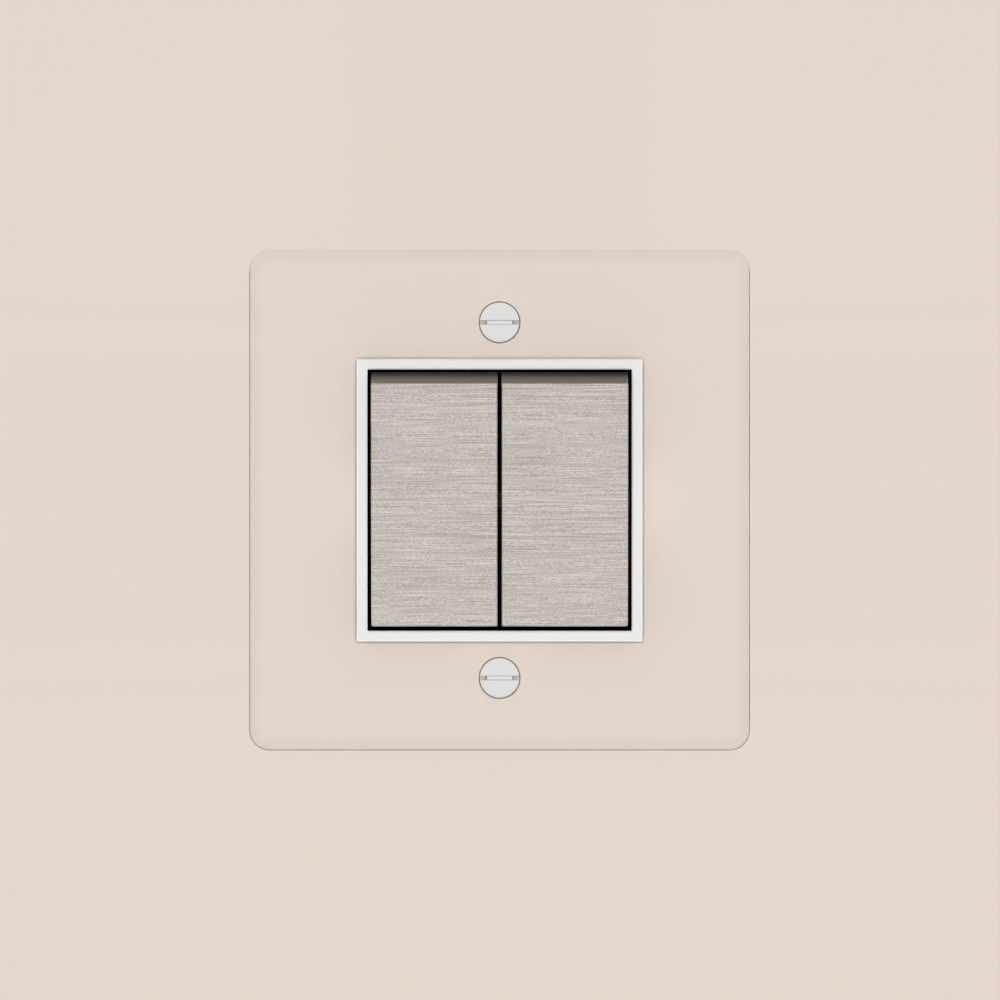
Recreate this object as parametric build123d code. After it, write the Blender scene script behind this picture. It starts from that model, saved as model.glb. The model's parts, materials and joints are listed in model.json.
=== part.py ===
"""Double rocker light switch with a clear wall plate.

Millimetres and degrees. X is to the right, Z is up and Y points into the wall. The wall plane, at the plate's
back, is y = 0, and the front of the switch faces -Y. Both rockers rest with their lower end pressed in.
"""

import os
from math import cos, radians, sin, tan

from build123d import *

# Clear wall plate
plate_side = 85.0
plate_thickness = 5.0
plate_corner_radius = 3.5
plate_edge_round = 2.0

# Slotted countersunk fixing screws
fixing_centres = 60.3
fixing_screw_length = 25.0
fixing_thread_diameter = 3.5
fixing_neck_diameter = 3.1
fixing_head_diameter = 6.7
fixing_slot_width = 0.8
fixing_slot_depth = 1.2
fixing_hole_clearance = 0.25
countersink_rim = 0.2

# White trim around the rockers, and the black sleeve that carries it through the plate
opening_width = 44.8
opening_height = 44.3
bezel_rim = 1.8
bezel_proud = 0.8
bezel_corner_radius = 0.4
bezel_edge_break = 0.25
lug_length = 12.0
lug_depth = 2.5
lug_thickness = 0.5
lug_clearance = 0.05
sleeve_wall = 1.0
sleeve_clearance = 0.1
guide_depth = 2.0
guide_clearance = 0.05
hook_reach = 0.6
hook_width = 8.0
hook_pitch = 26.0
hook_depth = 1.4
hook_clearance = 0.1
finger_width = 5.0
finger_barb = 0.55
finger_tip = 1.2
finger_clearance = 0.05

# Rocker travel and outline
rocker_tilt = 7.0
rocker_side_gap = 0.65
rocker_end_gap = 0.45
pressed_stand = 0.4
face_height = 7.3
skirt_depth = 8.5
end_draft = 7.0

# Folded steel cap
cap_thickness = 0.6
cap_bend = 0.5
cap_edge_break = 0.2
cap_side_flange = 1.8

# Moulded rocker carrier
carrier_roof = 1.6
carrier_wall = 1.8
carrier_side = 1.0
side_arch_depth = 3.4
side_arch_half = 9.0
side_arch_foot = 15.5
seam_groove = 0.3
rib_thickness = 1.5
rib_root = 16.0
rib_play = 0.3
trunnion_diameter = 3.0
trunnion_set_back = 0.2
bearing_clearance = 0.05
bearing_wall = 1.2
tube_wall = 1.1
tube_reach = 6.0

# Plunger and its spring
plunger_diameter = 3.0
plunger_clearance = 0.07
plunger_reach = 10.5
plunger_length = 9.0
plunger_tip_radius = 1.25
plunger_nose_angle = 25.0
spring_wire = 0.45
spring_side_clearance = 0.2
spring_end_clearance = 0.05
spring_turns = 2.25
spring_wire_sides = 4

# Moulded module frame behind each rocker
module_gap = 0.1
module_end_clearance = 0.1
floor_thickness = 2.0
floor_clearance = 0.6
cheek_thickness = 1.8
cheek_half_length = 14.0
cheek_rail = 2.2
cheek_foot = 6.0
slot_clearance = 0.5
ear_inset = 1.0
finger_notch_clearance = 0.15
leg_width = 4.0
leg_thickness = 1.2
leg_length = 6.0
leg_spread = 14.0
leg_barb = 0.6
leg_barb_height = 1.2
leg_clearance = 0.1
leg_inset = 0.25

# Moulded module base that holds the terminals
base_side_clearance = 0.15
base_wall = 1.4
base_rear_wall = 1.8
base_corner_radius = 1.5
notch_lip = 0.9
notch_margin = 0.5
post_inset = 0.5
divider_thickness = 2.4
divider_clearance = 0.3

# Brass contact lever
lever_tilt = 8.5
lever_half_length = 10.5
lever_width = 6.0
lever_thickness = 1.0
lever_bead_radius = 1.2
lever_rise = 1.4
tip_gap = 0.07

# Silver contact pads
contact_inset = 1.9
contact_gap = 0.08
contact_side = 3.4
contact_thickness = 0.8

# Brass terminals and their clamp screws
strip_thickness = 1.0
strip_margin = 0.75
saddle_clearance = 0.05
saddle_drop = 0.7
saddle_depth = 2.4
saddle_margin = 0.3
saddle_half_height = 2.5
common_arm_width = 4.5
pillar_height = 7.4
pillar_depth = 9.0
pillar_side_gap = 0.9
pillar_end_gap = 0.9
pillar_floor = 0.9
wire_bore_diameter = 3.5
wire_bore_depth = 8.0
clamp_thread_diameter = 3.0
clamp_thread_clearance = 0.05
clamp_slot_width = 0.6
clamp_slot_depth = 0.9
clamp_backed_off = 0.5
clamp_tip_gap = 0.1

# Front view layout of the two gangs
rocker_width = (opening_width - 3 * rocker_side_gap) / 2
gang_pitch = rocker_width + rocker_side_gap
gang_centres = {"left": -gang_pitch / 2, "right": gang_pitch / 2}
module_width = gang_pitch - module_gap
module_height = opening_height - 2 * module_end_clearance

# Plate and bezel planes, from the front to the back
plate_front = -plate_thickness
bezel_front = plate_front - bezel_proud
bezel_width = opening_width + 2 * bezel_rim
bezel_height = opening_height + 2 * bezel_rim
sleeve_width = opening_width + 2 * sleeve_wall
sleeve_height = opening_height + 2 * sleeve_wall
guide_width = 2 * gang_pitch - module_gap + 2 * guide_clearance
aperture_width = sleeve_width + 2 * sleeve_clearance
aperture_height = sleeve_height + 2 * sleeve_clearance
fixing_places = [fixing_centres / 2, -fixing_centres / 2]
countersink_radius = fixing_head_diameter / 2 + countersink_rim
fixing_hole_radius = fixing_thread_diameter / 2 + fixing_hole_clearance

# Rocker geometry in the middle of its travel, measured from its pivot
tilt_sin = sin(radians(rocker_tilt))
tilt_cos = cos(radians(rocker_tilt))
draft_tan = tan(radians(end_draft))
draft_cos = cos(radians(end_draft))
skirt_edge = skirt_depth - face_height
skirt_half = (opening_height / 2 - rocker_end_gap - skirt_edge * tilt_sin) / tilt_cos
face_half = skirt_half - skirt_depth * draft_tan
pivot_y = bezel_front - pressed_stand + face_height * tilt_cos - face_half * tilt_sin
roof_back = cap_thickness + carrier_roof - face_height
trunnion_radius = trunnion_diameter / 2
bearing_radius = trunnion_radius + bearing_clearance
plunger_radius = plunger_diameter / 2
tip_centre = plunger_reach - plunger_tip_radius
tube_bore_radius = plunger_radius + plunger_clearance
tube_radius = tube_bore_radius + tube_wall
plunger_back = plunger_reach - plunger_length

# Module planes
floor_front = pivot_y + skirt_edge * tilt_cos + skirt_half * tilt_sin + floor_clearance
floor_back = floor_front + floor_thickness
cheek_inner = module_width / 2 - cheek_thickness
rib_outer = cheek_inner - rib_play
finger_back = floor_back + finger_clearance + finger_tip
ear_height = sleeve_height

# Contact lever: its wings stand upright when their contact is closed
lever_sin = sin(radians(lever_tilt))
lever_cos = cos(radians(lever_tilt))
lever_tan = tan(radians(lever_tilt))
lever_y = pivot_y + tip_centre + lever_rise + (plunger_tip_radius + tip_gap) / lever_cos
wing_back = lever_y - lever_rise * lever_cos + lever_thickness
contact_z = lever_rise * lever_sin + lever_half_length - contact_inset
fixed_face = wing_back + contact_thickness + contact_gap

# Terminal planes
strip_front = fixed_face + contact_thickness
strip_back = strip_front + strip_thickness
common_front = lever_y + saddle_depth
common_back = common_front + strip_thickness
pillar_back = common_back + pillar_depth
base_back = pillar_back + base_rear_wall
base_width = module_width - 2 * base_side_clearance
base_half = module_height / 2 - leg_inset - leg_thickness - leg_clearance
base_inner_end = base_half - base_wall
pillar_outer = base_inner_end - pillar_end_gap
pillar_inner = pillar_outer - pillar_height
pillar_near = divider_thickness / 2 + divider_clearance
pillar_far = base_width / 2 - base_wall - pillar_side_gap
pillar_x = (pillar_near + pillar_far) / 2
wire_bore_radius = wire_bore_diameter / 2
wire_z = pillar_inner + pillar_floor + wire_bore_radius
clamp_y = pillar_back - wire_bore_depth / 2
clamp_thread_radius = clamp_thread_diameter / 2
strip_half = contact_side / 2 + strip_margin
strip_low = contact_z - strip_half
strip_high = contact_z + strip_half
saddle_half_width = lever_width / 2 + saddle_margin

rocker_axis = Axis((0, pivot_y, 0), (1, 0, 0))
lever_axis = Axis((0, lever_y, 0), (1, 0, 0))


def span(low_u, high_u, low_v, high_v):
    """Rectangle between two corners of a sketch."""
    return Pos((low_u + high_u) / 2, (low_v + high_v) / 2) * Rectangle(high_u - low_u, high_v - low_v)


def front_slab(outline, front, back):
    """Sketch in front view (x, z), given thickness from y = front to y = back."""
    return extrude(Plane.XZ.offset(-back) * outline, amount=back - front)


def side_slab(profile, width, x=0.0):
    """Sketch in side view (y, z), given width along X about x."""
    return Pos(x, 0, 0) * extrude(Plane.YZ * profile, amount=width / 2, both=True)


def turned(profile):
    """Half section in (radius, y), turned about the Y axis."""
    return revolve(Plane.XY * profile, Axis.Y)


def mirrored_pair(points):
    """Closed outline from its points on the upper side, repeated below the middle line."""
    return Polygon(*points, *[(u, -v) for u, v in reversed(points)], align=None)


def front_plate():
    """Clear plate with a rounded front edge, its aperture, hook pockets and countersunk holes."""
    plate = front_slab(RectangleRounded(plate_side, plate_side, plate_corner_radius), plate_front, 0)
    plate = fillet(plate.faces().sort_by(Axis.Y)[0].edges(), plate_edge_round)
    plate -= front_slab(Rectangle(aperture_width, aperture_height), plate_front, 0)
    pocket_width = sleeve_width + 2 * (hook_reach + hook_clearance)
    pocket = Rectangle(pocket_width, hook_width + 2 * hook_clearance)
    for z in (hook_pitch / 2, -hook_pitch / 2):
        plate -= front_slab(Pos(0, z) * pocket, -hook_depth, 0)
    cone_depth = countersink_radius - fixing_hole_radius
    hole = turned(
        Polygon(
            (0, plate_front),
            (countersink_radius, plate_front),
            (fixing_hole_radius, plate_front + cone_depth),
            (fixing_hole_radius, 0),
            (0, 0),
            align=None,
        )
    )
    for z in fixing_places:
        plate -= Pos(0, 0, z) * hole
    return plate


def fixing_screws():
    """Two slotted countersunk screws, sunk by the rim, with a thinner neck inside the plate."""
    head_radius = fixing_head_diameter / 2
    neck_radius = fixing_neck_diameter / 2
    thread_radius = fixing_thread_diameter / 2
    head_front = plate_front + countersink_rim
    tip = plate_front + fixing_screw_length
    screw = turned(
        Polygon(
            (0, head_front),
            (head_radius, head_front),
            (neck_radius, head_front + head_radius - neck_radius),
            (neck_radius, 0),
            (thread_radius, 0),
            (thread_radius, tip),
            (0, tip),
            align=None,
        )
    )
    slot = Rectangle(fixing_head_diameter, fixing_slot_width)
    screw -= front_slab(slot, head_front, head_front + fixing_slot_depth)
    return [Pos(0, 0, z) * screw for z in fixing_places]


def bezel_frame():
    """White trim: a rim on the plate's front, with a lug behind each side that snaps onto the sleeve."""
    outline = RectangleRounded(bezel_width, bezel_height, bezel_corner_radius)
    frame = front_slab(outline - Rectangle(opening_width, opening_height), bezel_front, plate_front)
    frame = chamfer(frame.faces().sort_by(Axis.Y)[0].edges(), bezel_edge_break)
    return frame + lugs(0)


def lugs(clearance):
    """The trim's four lugs on the sleeve's outer sides, grown by a clearance."""
    depth = plate_front + lug_depth + clearance
    length = lug_length + 2 * clearance
    outside = Rectangle(sleeve_width, sleeve_height)
    step = 2 * (lug_thickness + clearance)
    inside = Rectangle(sleeve_width - step, sleeve_height - step)
    strips = Rectangle(length, sleeve_height) + Rectangle(sleeve_width, length)
    return front_slab(outside - inside, plate_front, depth) & front_slab(strips, plate_front, depth)


def sleeve_hook(side, z):
    """Ramped hook on the sleeve's flank, which snaps into a pocket in the plate's back."""
    flank = side * sleeve_width / 2
    catch = hook_clearance - hook_depth
    ramp = Polygon((flank, catch), (flank + side * hook_reach, catch), (flank, 0), align=None)
    return Pos(0, 0, z) * extrude(Plane.XY * ramp, amount=hook_width / 2, both=True)


def sleeve_finger(x, side):
    """Springy finger behind the sleeve's end wall, with a barb that holds a module's floor."""
    inner = opening_height / 2
    catch = floor_back + finger_clearance
    profile = Polygon(
        (floor_front, side * inner),
        (catch, side * inner),
        (catch, side * (inner - finger_barb)),
        (finger_back, side * inner),
        (finger_back, side * sleeve_height / 2),
        (floor_front, side * sleeve_height / 2),
        align=None,
    )
    return side_slab(profile, finger_width, x)


def sleeve_frame():
    """Black sleeve through the plate: side guides and fingers for the modules, lug seats and plate hooks."""
    guide_front = floor_front - guide_depth
    frame = front_slab(Rectangle(sleeve_width, sleeve_height), plate_front, floor_front)
    frame -= front_slab(Rectangle(opening_width, opening_height), plate_front, guide_front)
    frame -= front_slab(Rectangle(guide_width, opening_height), guide_front, floor_front)
    frame -= lugs(lug_clearance)
    for side in (1, -1):
        for z in (hook_pitch / 2, -hook_pitch / 2):
            frame += sleeve_hook(side, z)
        for x in gang_centres.values():
            frame += sleeve_finger(x, side)
    return frame


def bearing_cheek(x):
    """Side cheek of a module: a low rail with a pedestal round the rocker's bearing."""
    rail = span(floor_front - cheek_rail, floor_front, -cheek_half_length, cheek_half_length)
    ear = bearing_radius + bearing_wall
    pedestal = mirrored_pair([(floor_front, cheek_foot), (pivot_y, ear), (pivot_y - ear, ear / 2)])
    profile = rail + pedestal - Pos(pivot_y, 0) * Circle(bearing_radius)
    return side_slab(profile, cheek_thickness, x)


def snap_leg(x, side):
    """Leg behind the module's floor, with a barb that holds the base."""
    inner = side * (base_half + leg_clearance)
    tip = floor_back + leg_length
    profile = Polygon(
        (floor_back, inner),
        (tip - leg_barb_height, inner),
        (tip - leg_barb_height, inner - side * leg_barb),
        (tip, inner),
        (tip, inner + side * leg_thickness),
        (floor_back, inner + side * leg_thickness),
        align=None,
    )
    return side_slab(profile, leg_width, x)


def module_frame():
    """Floor with ears on the sleeve's back edge, bearing cheeks and legs for the base."""
    ears = Rectangle(module_width - 2 * ear_inset, ear_height)
    ears -= Rectangle(finger_width + 2 * finger_notch_clearance, ear_height)
    slot_width = 2 * (tube_radius + slot_clearance)
    slot_height = slot_width + 2 * tube_reach * tilt_sin
    floor = Rectangle(module_width, module_height) + ears - Rectangle(slot_width, slot_height)
    frame = front_slab(floor, floor_front, floor_back)
    for side in (1, -1):
        frame += bearing_cheek(side * (module_width - cheek_thickness) / 2)
        for x in (leg_spread / 2, -leg_spread / 2):
            frame += snap_leg(x, side)
    return frame


def module_base():
    """Box behind the floor: posts and a divider for the terminals, notched at each wire clamp."""
    shell = front_slab(RectangleRounded(base_width, 2 * base_half, base_corner_radius), floor_back, base_back)
    shell -= front_slab(Rectangle(base_width - 2 * base_wall, 2 * base_inner_end), floor_back, pillar_back)
    saddle_post = Rectangle(2 * (saddle_half_width - post_inset), 2 * (saddle_half_height - post_inset))
    shell += front_slab(saddle_post, common_back, pillar_back)
    post_half = strip_half - post_inset
    contact_post = span(-post_half, post_half, strip_low + post_inset, pillar_inner - divider_clearance)
    divider = span(-divider_thickness / 2, divider_thickness / 2, pillar_inner, base_inner_end)
    supports = front_slab(contact_post, strip_back, pillar_back)
    supports += front_slab(divider, common_back, pillar_back)
    shell += supports
    shell += mirror(supports, Plane.XY)
    barb_front = floor_back + leg_length - leg_barb_height - leg_clearance
    barb_back = floor_back + leg_length + leg_clearance
    barb_pocket = span(barb_front, barb_back, base_half - leg_barb, base_half)
    for x in (leg_spread / 2, -leg_spread / 2):
        pocket = side_slab(barb_pocket, leg_width + 2 * leg_clearance, x)
        shell -= pocket
        shell -= mirror(pocket, Plane.XY)
    notch_front = clamp_y - clamp_thread_radius - notch_margin
    notch_low = wire_z - wire_bore_radius - notch_margin
    for x, side in terminal_places:
        notch_half = (pillar_far - pillar_near) / 2 - notch_lip
        notch = front_slab(span(x - notch_half, x + notch_half, notch_low, base_half), notch_front, base_back)
        shell -= notch if side > 0 else mirror(notch, Plane.XY)
    return shell


def skin_half(depth):
    """Half length of the rocker's outside at a depth behind its face."""
    return face_half + depth * draft_tan


def rocker_profile(points):
    """Side view of the rocker, from points (depth behind its face, half length) on its upper side."""
    return Pos(pivot_y - face_height, 0) * mirrored_pair(points)


def rocker_cap():
    """Folded steel sheet over the carrier: the face and two side flanges, open at both ends."""
    block = front_slab(Rectangle(rocker_width, 2 * face_half), -face_height, cap_side_flange - face_height)
    long_edges = block.faces().sort_by(Axis.Y)[0].edges().filter_by(Axis.Z)
    block = fillet(long_edges, cap_bend)
    end_edges = block.faces().sort_by(Axis.Y)[0].edges().filter_by(Axis.X)
    block = chamfer(end_edges, cap_edge_break)
    lining = Rectangle(rocker_width - 2 * cap_thickness, 2 * face_half)
    block -= front_slab(lining, cap_thickness - face_height, cap_side_flange - face_height)
    return Pos(0, pivot_y, 0) * block


def carrier_rib(side):
    """Rib under the carrier's roof that carries a trunnion."""
    ear = trunnion_radius + bearing_wall
    web = mirrored_pair([(roof_back, rib_root), (0, ear), (ear, ear / 2)])
    rib = side_slab(Pos(pivot_y, 0) * web, rib_thickness, side * (rib_outer - rib_thickness / 2))
    trunnion_end = module_width / 2 - trunnion_set_back
    trunnion = side_slab(
        Pos(pivot_y, 0) * Circle(trunnion_radius),
        trunnion_end - rib_outer,
        side * (trunnion_end + rib_outer) / 2,
    )
    return rib + trunnion


def rocker_carrier():
    """Moulded rocker under the cap: roof, drafted end skirts, arched sides, ribs and the plunger's tube."""
    groove_end = cap_thickness + seam_groove
    roof_depth = cap_thickness + carrier_roof
    wall = carrier_wall / draft_cos
    outside = rocker_profile(
        [
            (cap_thickness, skin_half(cap_thickness) - seam_groove),
            (groove_end, skin_half(groove_end)),
            (skirt_depth, skin_half(skirt_depth)),
        ]
    )
    inside = rocker_profile([(roof_depth, skin_half(roof_depth) - wall), (skirt_depth, skirt_half - wall)])
    carrier = side_slab(outside - inside, rocker_width)
    side_wall = rocker_profile(
        [
            (roof_depth, skin_half(roof_depth)),
            (skirt_depth, skirt_half),
            (skirt_depth, side_arch_foot),
            (side_arch_depth, side_arch_half),
        ]
    )
    rebate = rocker_profile([(cap_thickness, skirt_half), (cap_side_flange, skirt_half)])
    for side in (1, -1):
        carrier += side_slab(side_wall, carrier_side, side * (rocker_width - carrier_side) / 2)
        carrier -= side_slab(rebate, cap_thickness, side * (rocker_width - cap_thickness) / 2)
        carrier += carrier_rib(side)
    tube_front = pivot_y + roof_back
    tube_back = pivot_y + tube_reach
    carrier += front_slab(Circle(tube_radius), tube_front, tube_back)
    carrier -= front_slab(Circle(tube_bore_radius), tube_front, tube_back)
    return carrier


def plunger():
    """Sliding pin with a conical nose and a round tip."""

    def on_tip(angle):
        turn = radians(angle)
        return plunger_tip_radius * sin(turn), tip_centre + plunger_tip_radius * cos(turn)

    nose = on_tip(plunger_nose_angle)
    shoulder = nose[1] - (plunger_radius - nose[0]) * tan(radians(plunger_nose_angle))
    back = (plunger_radius, plunger_back)
    side = Polyline((0, plunger_reach), (0, plunger_back), back, (plunger_radius, shoulder), nose)
    tip = ThreePointArc(nose, on_tip(plunger_nose_angle / 2), (0, plunger_reach))
    return Pos(0, pivot_y, 0) * turned(make_face(side + tip))


def plunger_spring():
    """Coil spring between the carrier's roof and the back of the plunger."""
    coil_radius = tube_bore_radius - spring_side_clearance - spring_wire / 2
    first = roof_back + spring_end_clearance + spring_wire / 2
    last = plunger_back - spring_end_clearance - spring_wire / 2
    pitch = (last - first) / spring_turns
    path = Helix(pitch, last - first, coil_radius, center=(0, pivot_y + first, 0), direction=(0, 1, 0))
    section = Plane(origin=path @ 0, z_dir=path % 0) * RegularPolygon(spring_wire / 2, spring_wire_sides)
    return sweep(section, path=path, is_frenet=True)


def contact_pad(front):
    """Silver pad at the upper contact, from y = front to the back."""
    outline = Pos(0, contact_z) * Rectangle(contact_side, contact_side)
    return front_slab(outline, front, front + contact_thickness)


def fixed_contacts():
    """Pads on the upper and the lower terminal strip."""
    pad = contact_pad(fixed_face)
    return [pad, mirror(pad, Plane.XY)]


def lever_contacts():
    """Pads on the back of the lever's wings: the upper one is closed and the lower one lifted off."""
    pad = contact_pad(wing_back)
    return [pad, mirror(pad, Plane.XY).rotate(lever_axis, -2 * lever_tilt)]


def contact_lever():
    """V-shaped brass strip with a bead across its back, tilted so that its upper contact is closed."""
    rise = lever_half_length * lever_tan
    thickness = lever_thickness / lever_cos
    strip = Polygon(
        (-lever_rise - rise, lever_half_length),
        (-lever_rise, 0),
        (-lever_rise - rise, -lever_half_length),
        (-lever_rise - rise + thickness, -lever_half_length),
        (-lever_rise + thickness, 0),
        (-lever_rise - rise + thickness, lever_half_length),
        align=None,
    )
    lever = side_slab(Pos(lever_y, 0) * (strip + Circle(lever_bead_radius)), lever_width)
    return lever.rotate(lever_axis, -lever_tilt)


def clamp_pillar(front):
    """Block at the upper right that clamps a wire: blind bore from the back, tapped hole from the end."""
    pillar = front_slab(span(pillar_near, pillar_far, pillar_inner, pillar_outer), front, pillar_back)
    bore = Pos(pillar_x, wire_z) * Circle(wire_bore_radius)
    pillar -= front_slab(bore, pillar_back - wire_bore_depth, pillar_back)
    tapped = Cylinder(clamp_thread_radius + clamp_thread_clearance, pillar_outer - wire_z)
    return pillar - Pos(pillar_x, clamp_y, (pillar_outer + wire_z) / 2) * tapped


def upper_terminal():
    """Strip under the upper contact with a clamp pillar at the upper end."""
    strip = span(-strip_half, pillar_far, strip_low, strip_high)
    strip += span(pillar_near, pillar_far, strip_low, pillar_outer)
    return front_slab(strip, strip_front, strip_back) + clamp_pillar(strip_front)


def lower_terminal():
    """The upper terminal's twin at the lower end."""
    return mirror(upper_terminal(), Plane.XY)


def common_terminal():
    """Saddle under the lever's bead, with an arm to a clamp pillar at the upper end."""
    groove = Pos(lever_y, 0) * Circle(lever_bead_radius + saddle_clearance)
    seat = span(lever_y + saddle_drop, common_front, -saddle_half_height, saddle_half_height) - groove
    foot = span(-pillar_far, saddle_half_width, -saddle_half_height, saddle_half_height)
    arm = span(-pillar_far, common_arm_width - pillar_far, -saddle_half_height, pillar_outer)
    terminal = side_slab(seat, 2 * saddle_half_width)
    terminal += front_slab(foot + arm, common_front, common_back)
    return terminal + mirror(clamp_pillar(common_front), Plane.YZ)


def terminal_screws():
    """Headless clamp screws of the three terminals, backed off so that the wire bores are open."""
    tip = wire_z + wire_bore_radius + clamp_tip_gap
    top = pillar_outer + clamp_backed_off
    screw = Pos(0, 0, (tip + top) / 2) * Cylinder(clamp_thread_radius, top - tip)
    slot = Box(clamp_slot_width, clamp_thread_diameter, clamp_slot_depth)
    screw -= Pos(0, 0, top - clamp_slot_depth / 2) * slot
    screws = []
    for x, side in terminal_places:
        placed = Pos(x, clamp_y, 0) * screw
        screws.append(placed if side > 0 else mirror(placed, Plane.XY))
    return screws


def tilted(piece):
    """A piece of the rocker turned from the middle of its travel to rest, with the lower end pressed in."""
    return piece.rotate(rocker_axis, rocker_tilt)


def gang_pieces():
    """Pieces of one gang, about x = 0."""
    return {
        "module_frame": module_frame(),
        "module_base": module_base(),
        "rocker_carrier": tilted(rocker_carrier()),
        "rocker_cap": tilted(rocker_cap()),
        "plunger": tilted(plunger()),
        "plunger_spring": tilted(plunger_spring()),
        "contact_lever": contact_lever(),
        "lever_contacts": lever_contacts(),
        "common_terminal": common_terminal(),
        "upper_terminal": upper_terminal(),
        "lower_terminal": lower_terminal(),
        "fixed_contacts": fixed_contacts(),
        "terminal_screws": terminal_screws(),
    }


def write(name, piece):
    """One STEP file for a node: a single solid, or a group of separate solids."""
    solids = []
    for item in piece if isinstance(piece, list) else [piece]:
        solids.extend(item.solids())
    shape = solids[0] if len(solids) == 1 else Compound(children=solids)
    export_step(shape, f"parts/{name}.step")


# Clamp places of a gang: x, and the end that the screw is driven from (1 is the top)
terminal_places = [(pillar_x, 1), (-pillar_x, 1), (pillar_x, -1)]

os.makedirs("parts", exist_ok=True)
write("front_plate", front_plate())
write("bezel_frame", bezel_frame())
write("sleeve_frame", sleeve_frame())
write("fixing_screws", fixing_screws())
gang = gang_pieces()
for side, centre in gang_centres.items():
    for name, piece in gang.items():
        items = piece if isinstance(piece, list) else [piece]
        write(f"{side}_{name}", [Pos(centre, 0, 0) * item for item in items])
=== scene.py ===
import json
import math

import bmesh
import bpy
import numpy as np
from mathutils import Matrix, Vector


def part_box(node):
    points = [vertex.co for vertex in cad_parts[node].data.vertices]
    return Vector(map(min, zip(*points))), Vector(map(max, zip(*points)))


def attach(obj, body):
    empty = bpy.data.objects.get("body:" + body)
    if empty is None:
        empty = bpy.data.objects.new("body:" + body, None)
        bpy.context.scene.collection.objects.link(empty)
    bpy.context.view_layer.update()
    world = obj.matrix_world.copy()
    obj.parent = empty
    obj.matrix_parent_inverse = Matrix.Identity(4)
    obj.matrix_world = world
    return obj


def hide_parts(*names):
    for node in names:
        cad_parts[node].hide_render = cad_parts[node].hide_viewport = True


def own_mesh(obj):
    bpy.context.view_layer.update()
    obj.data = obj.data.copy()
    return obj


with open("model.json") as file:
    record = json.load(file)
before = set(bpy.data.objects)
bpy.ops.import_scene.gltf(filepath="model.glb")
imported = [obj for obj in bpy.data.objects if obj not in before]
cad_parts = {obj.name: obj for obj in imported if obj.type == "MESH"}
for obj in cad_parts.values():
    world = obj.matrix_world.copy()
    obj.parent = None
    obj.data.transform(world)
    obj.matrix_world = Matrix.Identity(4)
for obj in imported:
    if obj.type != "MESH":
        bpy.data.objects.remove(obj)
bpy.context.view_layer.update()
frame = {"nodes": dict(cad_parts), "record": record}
nodes = frame["nodes"]
record = frame["record"]
mm = 0.001
bolts = next(mount for mount in record["mounts"] if mount["name"] == "fixing_screws")
screwCentre = bolts["dims"]["spacing_y_mm"] / 2
print("frame loaded,", len(nodes), "nodes")


# Shader maths: a wire is a socket that takes Python's operators
class Wire:
    def __init__(self, tree, socket=None):
        self.tree = tree
        self.socket = socket

    def node(self, kind, settings=None, inputs=None, output=0):
        made = self.tree.nodes.new(kind)
        for name, value in (settings or {}).items():
            setattr(made, name, value)
        for key, value in (inputs or {}).items():
            if isinstance(value, Wire):
                self.tree.links.new(value.socket, made.inputs[key])
            else:
                made.inputs[key].default_value = value
        return Wire(self.tree, made.outputs[output])

    def maths(self, operation, first, second=0.0):
        return self.node("ShaderNodeMath", {"operation": operation}, {0: first, 1: second})

    def __add__(self, other):
        return self.maths("ADD", self, other)

    def __radd__(self, other):
        return self.maths("ADD", other, self)

    def __sub__(self, other):
        return self.maths("SUBTRACT", self, other)

    def __rsub__(self, other):
        return self.maths("SUBTRACT", other, self)

    def __mul__(self, other):
        return self.maths("MULTIPLY", self, other)

    def __rmul__(self, other):
        return self.maths("MULTIPLY", other, self)


def startFinish(name, constants):  # material, its shader and a wire; constants go straight on the sockets
    made = bpy.data.materials.new(name)
    made.use_nodes = True
    shader = made.node_tree.nodes["Principled BSDF"]
    for socket, value in constants.items():
        shader.inputs[socket].default_value = value
    return made, shader, Wire(made.node_tree)


def feed(shader, socket, wire):
    wire.tree.links.new(wire.socket, shader.inputs[socket])


def place(wire, scale=(1.0, 1.0, 1.0)):  # Object coordinates in metres, stretched by a scale for each axis
    spot = wire.node("ShaderNodeTexCoord", output="Object")
    return wire.node("ShaderNodeMapping", {"vector_type": "POINT"}, {"Vector": spot, "Scale": scale})


def axes(wire):  # the three Object coordinates by themselves
    split = wire.node("ShaderNodeSeparateXYZ", inputs={"Vector": place(wire)}).socket.node
    return [Wire(wire.tree, output) for output in split.outputs]


def reach(wire, first, second):  # length of the arrow with these two parts
    return wire.maths("SQRT", first * first + second * second)


def grain(wire, scale, detail):  # noise from 0 to 1, with about scale features per metre on each axis
    inputs = {"Vector": place(wire, scale), "Scale": 1.0, "Detail": detail}
    return wire.node("ShaderNodeTexNoise", inputs=inputs)


def blendColour(wire, amount, first, second):  # inputs 6 and 7 and output 2 are the node's colours
    ends = [colour if isinstance(colour, Wire) else (*colour, 1) for colour in (first, second)]
    return wire.node("ShaderNodeMix", {"data_type": "RGBA"}, {0: amount, 6: ends[0], 7: ends[1]}, output=2)


def ramp(wire, value, start, end):  # 0 before start and 1 after end, both in millimetres, smooth between
    inputs = {"Value": value, "From Min": start * mm, "From Max": end * mm}
    return wire.node("ShaderNodeMapRange", {"interpolation_type": "SMOOTHSTEP"}, inputs)


def relief(wire, shader, height, strength, depth):
    inputs = {"Strength": strength, "Distance": depth, "Height": height}
    feed(shader, "Normal", wire.node("ShaderNodeBump", inputs=inputs))


def ray(wire, question):  # what the light path says of a ray
    return wire.node("ShaderNodeLightPath", output=question)


def letThrough(wire, shader, clear):  # light goes straight through the surface where clear is 1
    surface = Wire(wire.tree, shader.outputs[0])
    gone = wire.node("ShaderNodeBsdfTransparent")
    mixed = wire.node("ShaderNodeMixShader", inputs={0: clear, 1: surface, 2: gone})
    wire.tree.links.new(mixed.socket, wire.tree.nodes["Material Output"].inputs["Surface"])


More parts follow.
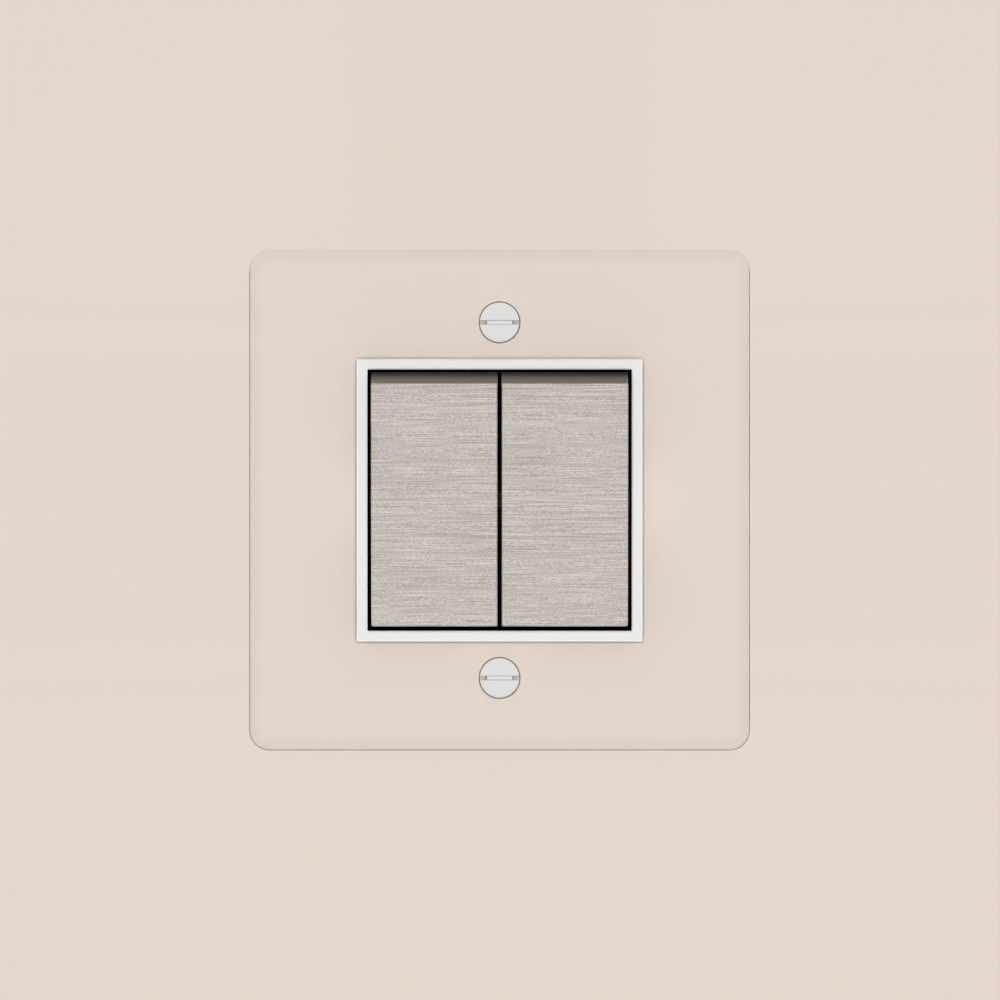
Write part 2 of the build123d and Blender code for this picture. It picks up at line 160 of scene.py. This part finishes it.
# Clear cast acrylic: polished, with faint wiping haze; lengths and pairs of them in millimetres
acrylic = {
    "clear": (0.98, 0.98, 0.98),
    "rounded": (0.885, 0.89, 0.895),  # painted shade: greyer in the rounded edge, more than the longer way that light runs there would make it
    "edgeShade": (0.04, 0.038, 0.036),  # painted shade: a dark line on the outermost part of the rounded edge
    "machined": (0.60, 0.58, 0.56),  # countersinks
    "rim": (0.05, 0.044, 0.04),  # painted shade: a dark ring at the rims of the countersinks, round the screw heads
    "cornerCentre": 39.0,
    "roundShadeSpan": (0.5, 3.0),  # out from the corner centres
    "edgeShadeSpan": (3.2, 3.38),  # likewise
    "edgeShadeBack": (-2.8, -2.3),  # y where the line ends
    "edgeShadeTop": (38.0, 41.5),  # z where the painted shade line fades, as if the top edge were lit
    "sinkSpan": (3.5, 3.58),  # out from the screw's axis
    "rimSpan": (3.3, 3.4),  # likewise
    "index": 1.49,
    "polish": 0.01,
    "haze": 0.04,
    "smears": (40.0, 40.0, 80.0),  # features of the haze per metre
    "cutRoughness": 0.4,
    "sideRoughness": 0.3,
    "bounces": 5.5,  # after so many, light that runs to and fro in the plate leaves it
}


def clearAcrylic():
    made, shader, wire = startFinish("clearAcrylic", {"IOR": acrylic["index"], "Transmission Weight": 1.0})
    x, y, z = axes(wire)
    across = wire.maths("ABSOLUTE", x)
    upright = wire.maths("ABSOLUTE", z)
    # distance outside the square that the four corner centres span
    square = acrylic["cornerCentre"] * mm
    pastX = wire.maths("MAXIMUM", across - square, 0.0)
    pastZ = wire.maths("MAXIMUM", upright - square, 0.0)
    outward = reach(wire, pastX, pastZ)
    roundShade = ramp(wire, outward, *acrylic["roundShadeSpan"])
    # painted shade: a dark line ends the round at the sides and below; it fades towards the top edge,
    # painted as the edge that catches the light
    top = ramp(wire, z, *acrylic["edgeShadeTop"])
    behind = ramp(wire, y, *acrylic["edgeShadeBack"])
    side = ramp(wire, outward, *acrylic["edgeShadeSpan"])
    edgeShadeMask = side * (1.0 - top) * (1.0 - behind)
    # distance from the axis of the nearer screw
    sink = reach(wire, x, upright - screwCentre * mm)
    cut = 1.0 - ramp(wire, sink, *acrylic["sinkSpan"])
    rim = ramp(wire, sink, *acrylic["rimSpan"])
    # painted shade in the rounded edge
    tint = blendColour(wire, roundShade, acrylic["clear"], acrylic["rounded"])
    tint = blendColour(wire, edgeShadeMask, tint, acrylic["edgeShade"])
    # the countersinks, with a ring of painted shade round each screw head
    cone = blendColour(wire, rim, acrylic["machined"], acrylic["rim"])
    feed(shader, "Base Color", blendColour(wire, cut, tint, cone))
    smear = grain(wire, acrylic["smears"], detail=3.0)
    matt = cut * acrylic["cutRoughness"] + side * behind * acrylic["sideRoughness"]
    feed(shader, "Roughness", acrylic["polish"] + smear * acrylic["haze"] + matt)
    # light for what lies behind passes straight through
    straight = wire.maths("GREATER_THAN", ray(wire, "Ray Depth"), acrylic["bounces"])
    for question in ("Is Shadow Ray", "Is Diffuse Ray"):
        straight = wire.maths("MAXIMUM", straight, ray(wire, question))
    letThrough(wire, shader, straight)
    return made


# Moulded plastics: a fine sparked grain from the mould and slow changes of gloss
mould = {"index": 1.5, "clouds": (120.0, 120.0, 120.0), "uneven": 0.06, "depth": 0.02 * mm}
moulded = {
    "whitePlastic": {
        "low": (0.84, 0.84, 0.825),
        "high": (0.88, 0.88, 0.87),
        "gloss": 0.34,
        "grain": 5000.0,
        "bump": 0.08,
    },
    "blackPlastic": {
        "low": (0.008, 0.008, 0.008),
        "high": (0.014, 0.013, 0.012),
        "gloss": 0.40,
        "grain": 6000.0,
        "bump": 0.25,
    },
    "greyPlastic": {
        "low": (0.17, 0.147, 0.122),
        "high": (0.215, 0.187, 0.158),
        "gloss": 0.42,
        "grain": 6000.0,
        "bump": 0.25,
    },
    "naturalNylon": {
        "low": (0.70, 0.67, 0.58),
        "high": (0.78, 0.75, 0.66),
        "gloss": 0.40,
        "grain": 4000.0,
        "bump": 0.10,
    },
}


def mouldedFinish(name):
    look = moulded[name]
    made, shader, wire = startFinish(name, {"IOR": mould["index"]})
    cloud = grain(wire, mould["clouds"], detail=3.0)
    spark = grain(wire, (look["grain"],) * 3, detail=1.0)
    feed(shader, "Base Color", blendColour(wire, cloud, look["low"], look["high"]))
    feed(shader, "Roughness", look["gloss"] + cloud * mould["uneven"] + spark * mould["uneven"])
    relief(wire, shader, spark, look["bump"], mould["depth"])
    return made


# Brushed steel: long thin streaks and short hairs across the rocker, over slow broad bands
brushed = {
    "dark": (0.42, 0.378, 0.340),
    "light": (0.94, 0.887, 0.842),
    "streak": (110.0, 300.0, 23000.0),
    "streakShare": 0.53,
    "hair": (2600.0, 2600.0, 23000.0),
    "hairShare": 0.42,
    "band": (25.0, 60.0, 420.0),
    "bandShare": 0.05,
    "middle": 0.5,  # mean of the noise
    "contrast": 5.6,
    "gloss": 0.40,
    "uneven": 0.12,
    "bump": 0.1,
    "depth": 0.02 * mm,
}


def brushedSteel():
    made, shader, wire = startFinish("brushedSteel", {"Metallic": 1.0})
    streak = grain(wire, brushed["streak"], detail=2.0) * brushed["streakShare"]
    hair = grain(wire, brushed["hair"], detail=1.0) * brushed["hairShare"]
    band = grain(wire, brushed["band"], detail=1.0) * brushed["bandShare"]
    middle = brushed["middle"]
    brushing = (streak + hair + band - middle) * brushed["contrast"] + middle
    feed(shader, "Base Color", blendColour(wire, brushing, brushed["dark"], brushed["light"]))
    feed(shader, "Roughness", brushed["gloss"] + brushing * brushed["uneven"])
    relief(wire, shader, brushing, brushed["bump"], brushed["depth"])
    return made


# Plated and bare metals: tone, gloss and a fine drawn or rolled grain along one axis
metal = {
    "stains": (300.0, 300.0, 300.0),
    "stainShare": 0.45,
    "layShare": 0.55,
    "uneven": 0.18,
    "bump": 0.1,
    "depth": 0.01 * mm,
}
metals = {
    "platedScrew": {
        "low": (0.86, 0.86, 0.86),
        "high": (0.91, 0.91, 0.91),
        "gloss": 0.34,
        "lay": (900.0, 900.0, 9000.0),
        "paintedLight": (0.97, 0.97, 0.97),  # painted highlight on the rim of the head, partly rubbed wear, and painted light on the slot's floor
        "polished": 0.16,  # how much smoother they are
        "paintedSlotShade": (0.66, 0.66, 0.65),  # painted shade at the sides of the slot's floor
        "rimSpan": (3.18, 3.28),  # out from the screw's axis, in millimetres
        "slotShadeSpan": (0.22, 0.36),  # out from the middle of the slot
        "slotEdge": (0.40, 0.46),  # likewise
        "slotTop": (0.05, 0.10),  # in from the head's face
        "slotFloor": (1.25, 1.35),  # likewise
    },
    "zincScrew": {
        "low": (0.50, 0.52, 0.55),
        "high": (0.66, 0.67, 0.69),
        "gloss": 0.28,
        "lay": (2500.0, 2500.0, 9000.0),
    },
    "springSteel": {
        "low": (0.36, 0.36, 0.37),
        "high": (0.52, 0.52, 0.53),
        "gloss": 0.26,
        "lay": (3000.0, 3000.0, 3000.0),
    },
    "brass": {
        "low": (0.66, 0.45, 0.17),
        "high": (0.83, 0.62, 0.30),
        "gloss": 0.24,
        "lay": (600.0, 5000.0, 600.0),
    },
    "silver": {
        "low": (0.76, 0.75, 0.72),
        "high": (0.90, 0.89, 0.86),
        "gloss": 0.20,
        "lay": (2000.0, 2000.0, 2000.0),
    },
}


def headLightAndShade(wire, look):  # 1 where the rim has a painted highlight and the slot's floor painted light, and 1 where the slot's sides have painted shade
    x, y, z = axes(wire)
    offCentre = wire.maths("ABSOLUTE", z) - screwCentre * mm
    rim = ramp(wire, reach(wire, x, offCentre), *look["rimSpan"])
    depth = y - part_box("fixing_screws")[0].y
    apart = wire.maths("ABSOLUTE", offCentre)
    between = 1.0 - ramp(wire, apart, *look["slotEdge"])
    below = ramp(wire, depth, *look["slotTop"])
    above = 1.0 - ramp(wire, depth, *look["slotFloor"])
    slot = between * below * above
    side = ramp(wire, apart, *look["slotShadeSpan"])
    return wire.maths("MAXIMUM", rim, slot * (1.0 - side)), slot * side


def metalFinish(name):
    look = metals[name]
    made, shader, wire = startFinish(name, {"Metallic": 1.0})
    lay = grain(wire, look["lay"], detail=2.0)
    stain = grain(wire, metal["stains"], detail=3.0)
    tone = lay * metal["layShare"] + stain * metal["stainShare"]
    colour = blendColour(wire, tone, look["low"], look["high"])
    roughness = look["gloss"] + stain * metal["uneven"]
    # painted highlight and painted light on the head, painted shade in the slot's corners
    if "paintedLight" in look:
        paintedLightMask, paintedSlotShade = headLightAndShade(wire, look)
        colour = blendColour(wire, paintedLightMask, colour, look["paintedLight"])
        colour = blendColour(wire, paintedSlotShade, colour, look["paintedSlotShade"])
        roughness = roughness - paintedLightMask * look["polished"]
    feed(shader, "Base Color", colour)
    feed(shader, "Roughness", roughness)
    relief(wire, shader, lay, metal["bump"], metal["depth"])
    return made


finishes = {
    "clear_acrylic": clearAcrylic(),
    "white_plastic": mouldedFinish("whitePlastic"),
    "plated_screw": metalFinish("platedScrew"),
    "black_plastic": mouldedFinish("blackPlastic"),
    "grey_plastic": mouldedFinish("greyPlastic"),
    "brushed_steel": brushedSteel(),
    "natural_nylon": mouldedFinish("naturalNylon"),
    "spring_steel": metalFinish("springSteel"),
    "brass": metalFinish("brass"),
    "silver": metalFinish("silver"),
    "zinc_screw": metalFinish("zincScrew"),
}
slotOf = {row["node"]: row["material_slot"] for row in record["subparts"]}
bodyOf = {node: body for body, members in record["behaviour"]["bodies"].items() for node in members}
for name, node in nodes.items():
    node.data.materials.clear()
    node.data.materials.append(finishes[slotOf[name]])
print("finishes set on", len(slotOf), "nodes")

# Object and mesh helpers
seam = 0.002 * mm  # points nearer to each other than this become one


def addObject(name, data):
    made = bpy.data.objects.new(name, data)
    bpy.context.scene.collection.objects.link(made)
    return made


def weld(mesh, outward, flat=0.0):  # closes seams, and joins faces that are flat to within some degrees
    work = bmesh.new()
    work.from_mesh(mesh)
    bmesh.ops.remove_doubles(work, verts=work.verts, dist=seam)
    if flat:
        bmesh.ops.dissolve_limit(work, angle_limit=math.radians(flat), verts=work.verts, edges=work.edges)
    if outward:
        bmesh.ops.recalc_face_normals(work, faces=work.faces)
    work.to_mesh(mesh)
    work.free()


def standFor(mesh, name, replaced, crease):  # shows the mesh for a CAD node, smooth up to the crease angle
    mesh.polygons.foreach_set("use_smooth", np.ones(len(mesh.polygons), dtype=bool))
    mesh.set_sharp_from_angle(angle=math.radians(crease))
    piece = addObject(name, mesh)
    even = piece.modifiers.new("evenShading", "WEIGHTED_NORMAL")
    even.keep_sharp = True
    mesh.materials.clear()
    mesh.materials.append(finishes[slotOf[replaced]])
    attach(piece, bodyOf[replaced])
    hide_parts(replaced)
    return piece


def patchMesh(name, patches):  # patches are grids of points (rows, columns, 3) in millimetres
    points = []
    faces = []
    count = 0
    for patch in patches:
        rows, columns = patch.shape[:2]
        row, column = np.meshgrid(np.arange(rows - 1), np.arange(columns - 1), indexing="ij")
        first = count + row * columns + column
        quads = np.stack([first, first + 1, first + columns + 1, first + columns], axis=-1)
        faces.append(quads.reshape(-1, 4))
        points.append(patch.reshape(-1, 3))
        count += rows * columns
    mesh = bpy.data.meshes.new(name)
    mesh.from_pydata(np.concatenate(points) * mm, [], np.concatenate(faces).tolist())
    weld(mesh, outward=True)
    return mesh


# Fixing screws: slotted countersunk head, plain neck and a rolled thread, in millimetres
screw = {
    "neckRadius": 1.55,
    "slotWidth": 0.8,
    "slotDepth": 1.2,
    "rimWidth": 0.18,
    "rimDrop": 0.035,
    "pitch": 0.6,
    "threadDepth": 0.33,
    "flank": 2.6,  # steepness of the thread's flanks
    "crest": 0.15,  # flat left on its crest
    "runOut": 1.2,
    "tipLength": 0.6,  # share of the run-out that tapers at the tip
    "tipTaper": 0.8,
    "crease": 40.0,
    "around": 49,  # these are numbers of points
    "rowsPerTurn": 8,
    "slotRows": 33,
    "landColumns": 13,
    "wallColumns": 12,
    "floorColumns": 7,
    "coneRows": 6,
    "endRings": 5,
}


def fixingScrewPatches(centre, headRadius, headFront, tip, threadRadius):
    half = screw["slotWidth"] / 2
    floor = screw["slotDepth"]
    neck = screw["neckRadius"]
    drop = screw["rimDrop"]
    along = np.linspace(-1.0, 1.0, screw["slotRows"])[:, None]
    across = np.linspace(0.0, 1.0, screw["landColumns"])[None, :]
    depth = np.concatenate([[0.0], np.linspace(drop, floor, screw["wallColumns"])])[None, :]
    turn = np.linspace(0.0, 2 * math.pi, screw["around"])[None, :]
    patches = []

    def radiusAt(depth):  # a slightly bevelled rim, then a cone of 45 degrees
        bevel = headRadius - screw["rimWidth"] + depth / drop * (screw["rimWidth"] - drop)
        return np.minimum(bevel, headRadius - depth)

    def slotReach(depth):  # half length of the slot at a depth below the head's face
        return np.sqrt(radiusAt(depth) ** 2 - half**2)

    def arc(radius):  # angles round the head, from one end of the slot to the other
        return math.pi / 2 - along * (math.pi / 2 - np.arcsin(half / radius))

    def put(x, y, z):
        return np.stack(np.broadcast_arrays(x, headFront + y, centre + z), axis=-1)

    def turned(radius, y):
        return put(radius * np.cos(turn), y, radius * np.sin(turn))

    for way in (1, -1):
        # land: from the slot's edge out to the bevel
        angle = arc(radiusAt(0.0))
        edge = along * slotReach(0.0)
        rimX = radiusAt(0.0) * np.cos(angle)
        rimZ = radiusAt(0.0) * np.sin(angle)
        patches.append(put(edge + (rimX - edge) * across, 0.0, way * (half + (rimZ - half) * across)))
        # slot wall: as long as the head is wide at that depth
        patches.append(put(along * slotReach(depth), depth, way * half))
        # bevel and flank of the cone beside the slot
        radius = radiusAt(depth)
        angle = arc(radius)
        patches.append(put(radius * np.cos(angle), depth, way * radius * np.sin(angle)))
    # slot floor, with round ends, and the rest of the cone below it
    width = np.linspace(-half, half, screw["floorColumns"])[None, :]
    patches.append(put(along * np.sqrt((headRadius - floor) ** 2 - width**2), floor, width))
    under = np.linspace(0.0, 1.0, screw["coneRows"])[:, None]
    coneEnd = headRadius - neck
    patches.append(turned(headRadius - floor + under * (floor - coneEnd), floor + under * (coneEnd - floor)))
    # shank: neck, then the thread as a helical ripple that fades in and tapers off at the tip
    length = tip - headFront
    rows = int((length - coneEnd) / screw["pitch"] * screw["rowsPerTurn"])
    height = np.linspace(coneEnd, length, rows)[:, None]
    threadStart = -headFront
    fade = np.clip((height - threadStart) / screw["runOut"], 0.0, 1.0)
    wave = (height / screw["pitch"] - turn / (2 * math.pi)) % 1.0
    ripple = np.clip(np.abs(wave - 0.5) * screw["flank"] - screw["crest"], 0.0, 1.0)
    crest = threadRadius - screw["threadDepth"] * ripple
    nearTip = np.clip((height - length) / screw["runOut"] + screw["tipLength"], 0.0, screw["tipLength"])
    radius = neck + (crest - neck) * fade - nearTip * screw["tipTaper"]
    patches.append(turned(radius, height))
    # end face: rings from the last turn in to the middle
    inward = np.linspace(1.0, 0.0, screw["endRings"])[:, None]
    patches.append(turned(inward * radius[-1:, :], length))
    return patches


low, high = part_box("fixing_screws")
screwPatches = []
for end in (1, -1):
    screwPatches += fixingScrewPatches(
        end * screwCentre, high.z / mm - screwCentre, low.y / mm, high.y / mm, bolts["dims"]["stud_r_mm"]
    )
screwMesh = patchMesh("fixingScrewPair", screwPatches)
standFor(screwMesh, "fixingScrewPair", "fixing_screws", screw["crease"])
print("fixing screws:", len(screwMesh.polygons), "faces")


# Plunger springs: round wire with closed ends, in millimetres
spring = {
    "wire": 0.45,
    "coil": 1.14,
    "length": 6.48,
    "inset": 0.06,
    "turns": 6.0,
    "closing": 0.72,  # how much less the end turns rise
    "crease": 50.0,
    "rows": 200,
    "around": 12,
    "capRings": 4,
}


def coilPatches(start, axis):
    # tube along a helix; the rise per turn is smaller at both ends, so that the end turns close up
    share = np.linspace(0.0, 1.0, spring["rows"])
    radius = spring["wire"] / 2
    rise = share - spring["closing"] * np.sin(2 * math.pi * share) / (2 * math.pi)
    height = spring["inset"] + radius + (spring["length"] - 2 * radius) * rise
    turn = 2 * math.pi * spring["turns"] * share
    sideways = np.array([1.0, 0.0, 0.0])
    upright = np.cross(axis, sideways)
    spoke = np.cos(turn)[:, None] * sideways + np.sin(turn)[:, None] * upright
    line = start + axis * height[:, None] + spring["coil"] * spoke
    angle = np.linspace(0.0, 2 * math.pi, spring["around"] + 1)[None, :, None]
    tube = (np.cos(angle) * spoke[:, None, :] + np.sin(angle) * axis) * radius
    inward = np.linspace(1.0, 0.0, spring["capRings"])[:, None, None]
    caps = [line[row] + tube[row] * inward for row in (0, -1)]
    return [line[:, None, :] + tube, *caps]


for joint in record["behaviour"]["joints"]:
    for bent in joint.get("deforming_nodes", []):
        start = np.array(bent["fixed_end_m"]) / mm
        axis = -np.array(joint["axis"])
        coilName = bent["node"] + "Coil"
        mesh = patchMesh(coilName, coilPatches(start, axis / np.linalg.norm(axis)))
        coil = standFor(mesh, coilName, bent["node"], spring["crease"])
        pressed = max(joint["range_m"]) / mm / (spring["inset"] + spring["length"])
        1.0 - pressed
        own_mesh(coil)
print("springs wound")

# Pieces with visible rounds: the CAD solid's own surface, joined up so that it shades smoothly
rounded = {
    "nodes": ("front_plate", "bezel_frame", "left_rocker_cap", "right_rocker_cap"),
    "flat": 0.3,
    "crease": 25.0,
}
for name in rounded["nodes"]:
    mesh = nodes[name].data.copy()
    weld(mesh, outward=False, flat=rounded["flat"])
    standFor(mesh, name + "Smooth", name, rounded["crease"])
print("rounded pieces joined up")

# Stage: plain wall with an opening for the switch, and a black sheet across the opening as painted shade
# inside, both seen from the front only
stage = {
    "colour": (0.82, 0.715, 0.64, 1),
    # painted shade across the opening
    "dark": (0.0, 0.0, 0.0, 1),
    "roughness": 0.9,
    "half": 1500.0,  # millimetres, as the next two
    "behind": 0.3,
    "opening": 0.5,  # this far inside the bezel's outline
}


def corners(low, high, y):  # corners of a rectangle in front view, counted round from the lower left
    return [(low[0], y, low[1]), (high[0], y, low[1]), (high[0], y, high[1]), (low[0], y, high[1])]


def stagePiece(name, points, faces, colour, clear):  # clear(wire) is 1 for rays that pass the surface
    mesh = bpy.data.meshes.new(name)
    mesh.from_pydata(points, [], faces)
    made, shader, wire = startFinish(name, {"Base Color": colour, "Roughness": stage["roughness"]})
    letThrough(wire, shader, clear(wire))
    mesh.materials.append(made)
    piece = addObject(name, mesh)


def fromBehind(wire):
    return wire.node("ShaderNodeNewGeometry", output="Backfacing")


def cameraBehind(wire):
    return fromBehind(wire) * ray(wire, "Is Camera Ray")


low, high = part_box("bezel_frame")
edge = stage["opening"] * mm
near = ((low.x + edge, low.z + edge), (high.x - edge, high.z - edge))
half = stage["half"] * mm
far = ((-half, -half), (half, half))
behind = stage["behind"] * mm
rim = corners(*near, behind)
wall = corners(*far, behind) + rim
ring = [(k, (k + 1) % 4, 4 + (k + 1) % 4, 4 + k) for k in range(4)]
# the wall stops all light, and lets only a camera behind it look through
stagePiece("plainWall", wall, ring, stage["colour"], cameraBehind)
# painted shade: the opening is black from the front, and clear from behind
stagePiece("paintedShadeOpening", rim, [(0, 1, 2, 3)], stage["dark"], fromBehind)

# Light: a pale room, soft lamps round the camera, low ones at the edges,
# and two behind the wall for views from the back; lamps in watts, metres and degrees
light = {
    "room": 0.3,  # room light on surfaces
    "roomColour": (1.0, 0.995, 0.985, 1),
    "horizon": 0.85,  # the room as the camera, metal and clear plastic see it
    "upward": 0.15,  # how much brighter it is overhead than there
}
ringLamps = {"count": 4, "power": 4.6, "fromAbove": 0.3, "size": 0.05, "distance": 1.7, "offAxis": 4.0}
edgeLamps = {
    "power": 3.2,
    "size": 0.03,
    "places": [(-1.0, -0.02, 0.0), (1.0, -0.02, 0.0), (0.0, -0.02, -1.0)],
}
backLamps = {"power": 6.0, "size": 0.6, "places": [(-0.9, 1.1, 0.8), (0.9, 1.1, 0.8)]}


def paleRoom():
    world = bpy.data.worlds.new("paleRoom")
    world.use_nodes = True
    world.cycles.sampling_method = "NONE"
    background = world.node_tree.nodes["Background"]
    background.inputs["Color"].default_value = light["roomColour"]
    wire = Wire(world.node_tree)
    towards = wire.node("ShaderNodeTexCoord", output="Generated")
    height = wire.node("ShaderNodeSeparateXYZ", inputs={"Vector": towards}, output="Z")
    shown = light["horizon"] + height * light["upward"]
    seen = 0.0
    for question in ("Is Camera Ray", "Is Glossy Ray", "Is Transmission Ray"):
        seen = wire.maths("MAXIMUM", seen, ray(wire, question))
    feed(background, "Strength", light["room"] + seen * (shown - light["room"]))
    bpy.context.scene.world = world


def areaLamp(name, spot, power, size):
    data = bpy.data.lights.new(name, "AREA")
    data.energy = power
    data.size = size
    lamp = addObject(name, data)
    lamp.location = spot
    lamp.rotation_euler = (-lamp.location).to_track_quat("-Z", "Y").to_euler()
    lamp.visible_camera = False
    lamp.visible_glossy = False  # metal and clear plastic show the room alone
    lamp.visible_transmission = False


paleRoom()
aside = ringLamps["distance"] * math.sin(math.radians(ringLamps["offAxis"]))
ahead = ringLamps["distance"] * math.cos(math.radians(ringLamps["offAxis"]))
for turn in (np.arange(ringLamps["count"]) + 0.5) * 2 * math.pi / ringLamps["count"]:
    power = ringLamps["power"] * (1 + ringLamps["fromAbove"] * math.sin(turn))
    areaLamp("ringLamp", (aside * math.cos(turn), -ahead, aside * math.sin(turn)), power, ringLamps["size"])
for spot in edgeLamps["places"]:
    areaLamp("edgeLamp", spot, edgeLamps["power"], edgeLamps["size"])
for spot in backLamps["places"]:
    areaLamp("backLamp", spot, backLamps["power"], backLamps["size"])

# Camera: square on, far off with a long lens
camera = {
    "lens": 400.0,
    "sensor": 36.0,
    "imagePixels": 1000.0,
    "platePixels": 501.4,
    "plateMiddle": (499.6, 500.15),  # from the left and from the top
}


def frontCamera():
    low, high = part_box("front_plate")
    pixel = (high.x - low.x) / camera["platePixels"]  # size of a pixel at the plate
    seen = pixel * camera["imagePixels"]
    data = bpy.data.cameras.new("frontCamera")
    data.lens = camera["lens"]
    data.sensor_width = camera["sensor"]
    made = addObject("frontCamera", data)
    aside = (camera["imagePixels"] / 2 - camera["plateMiddle"][0]) * pixel
    above = (camera["plateMiddle"][1] - camera["imagePixels"] / 2) * pixel
    made.location = (aside, low.y - seen * camera["lens"] / camera["sensor"], above)
    made.rotation_euler = (math.pi / 2, 0.0, 0.0)
    bpy.context.scene.camera = made


frontCamera()
bpy.context.scene.view_settings.view_transform = "Standard"
print("stage, light and camera set")
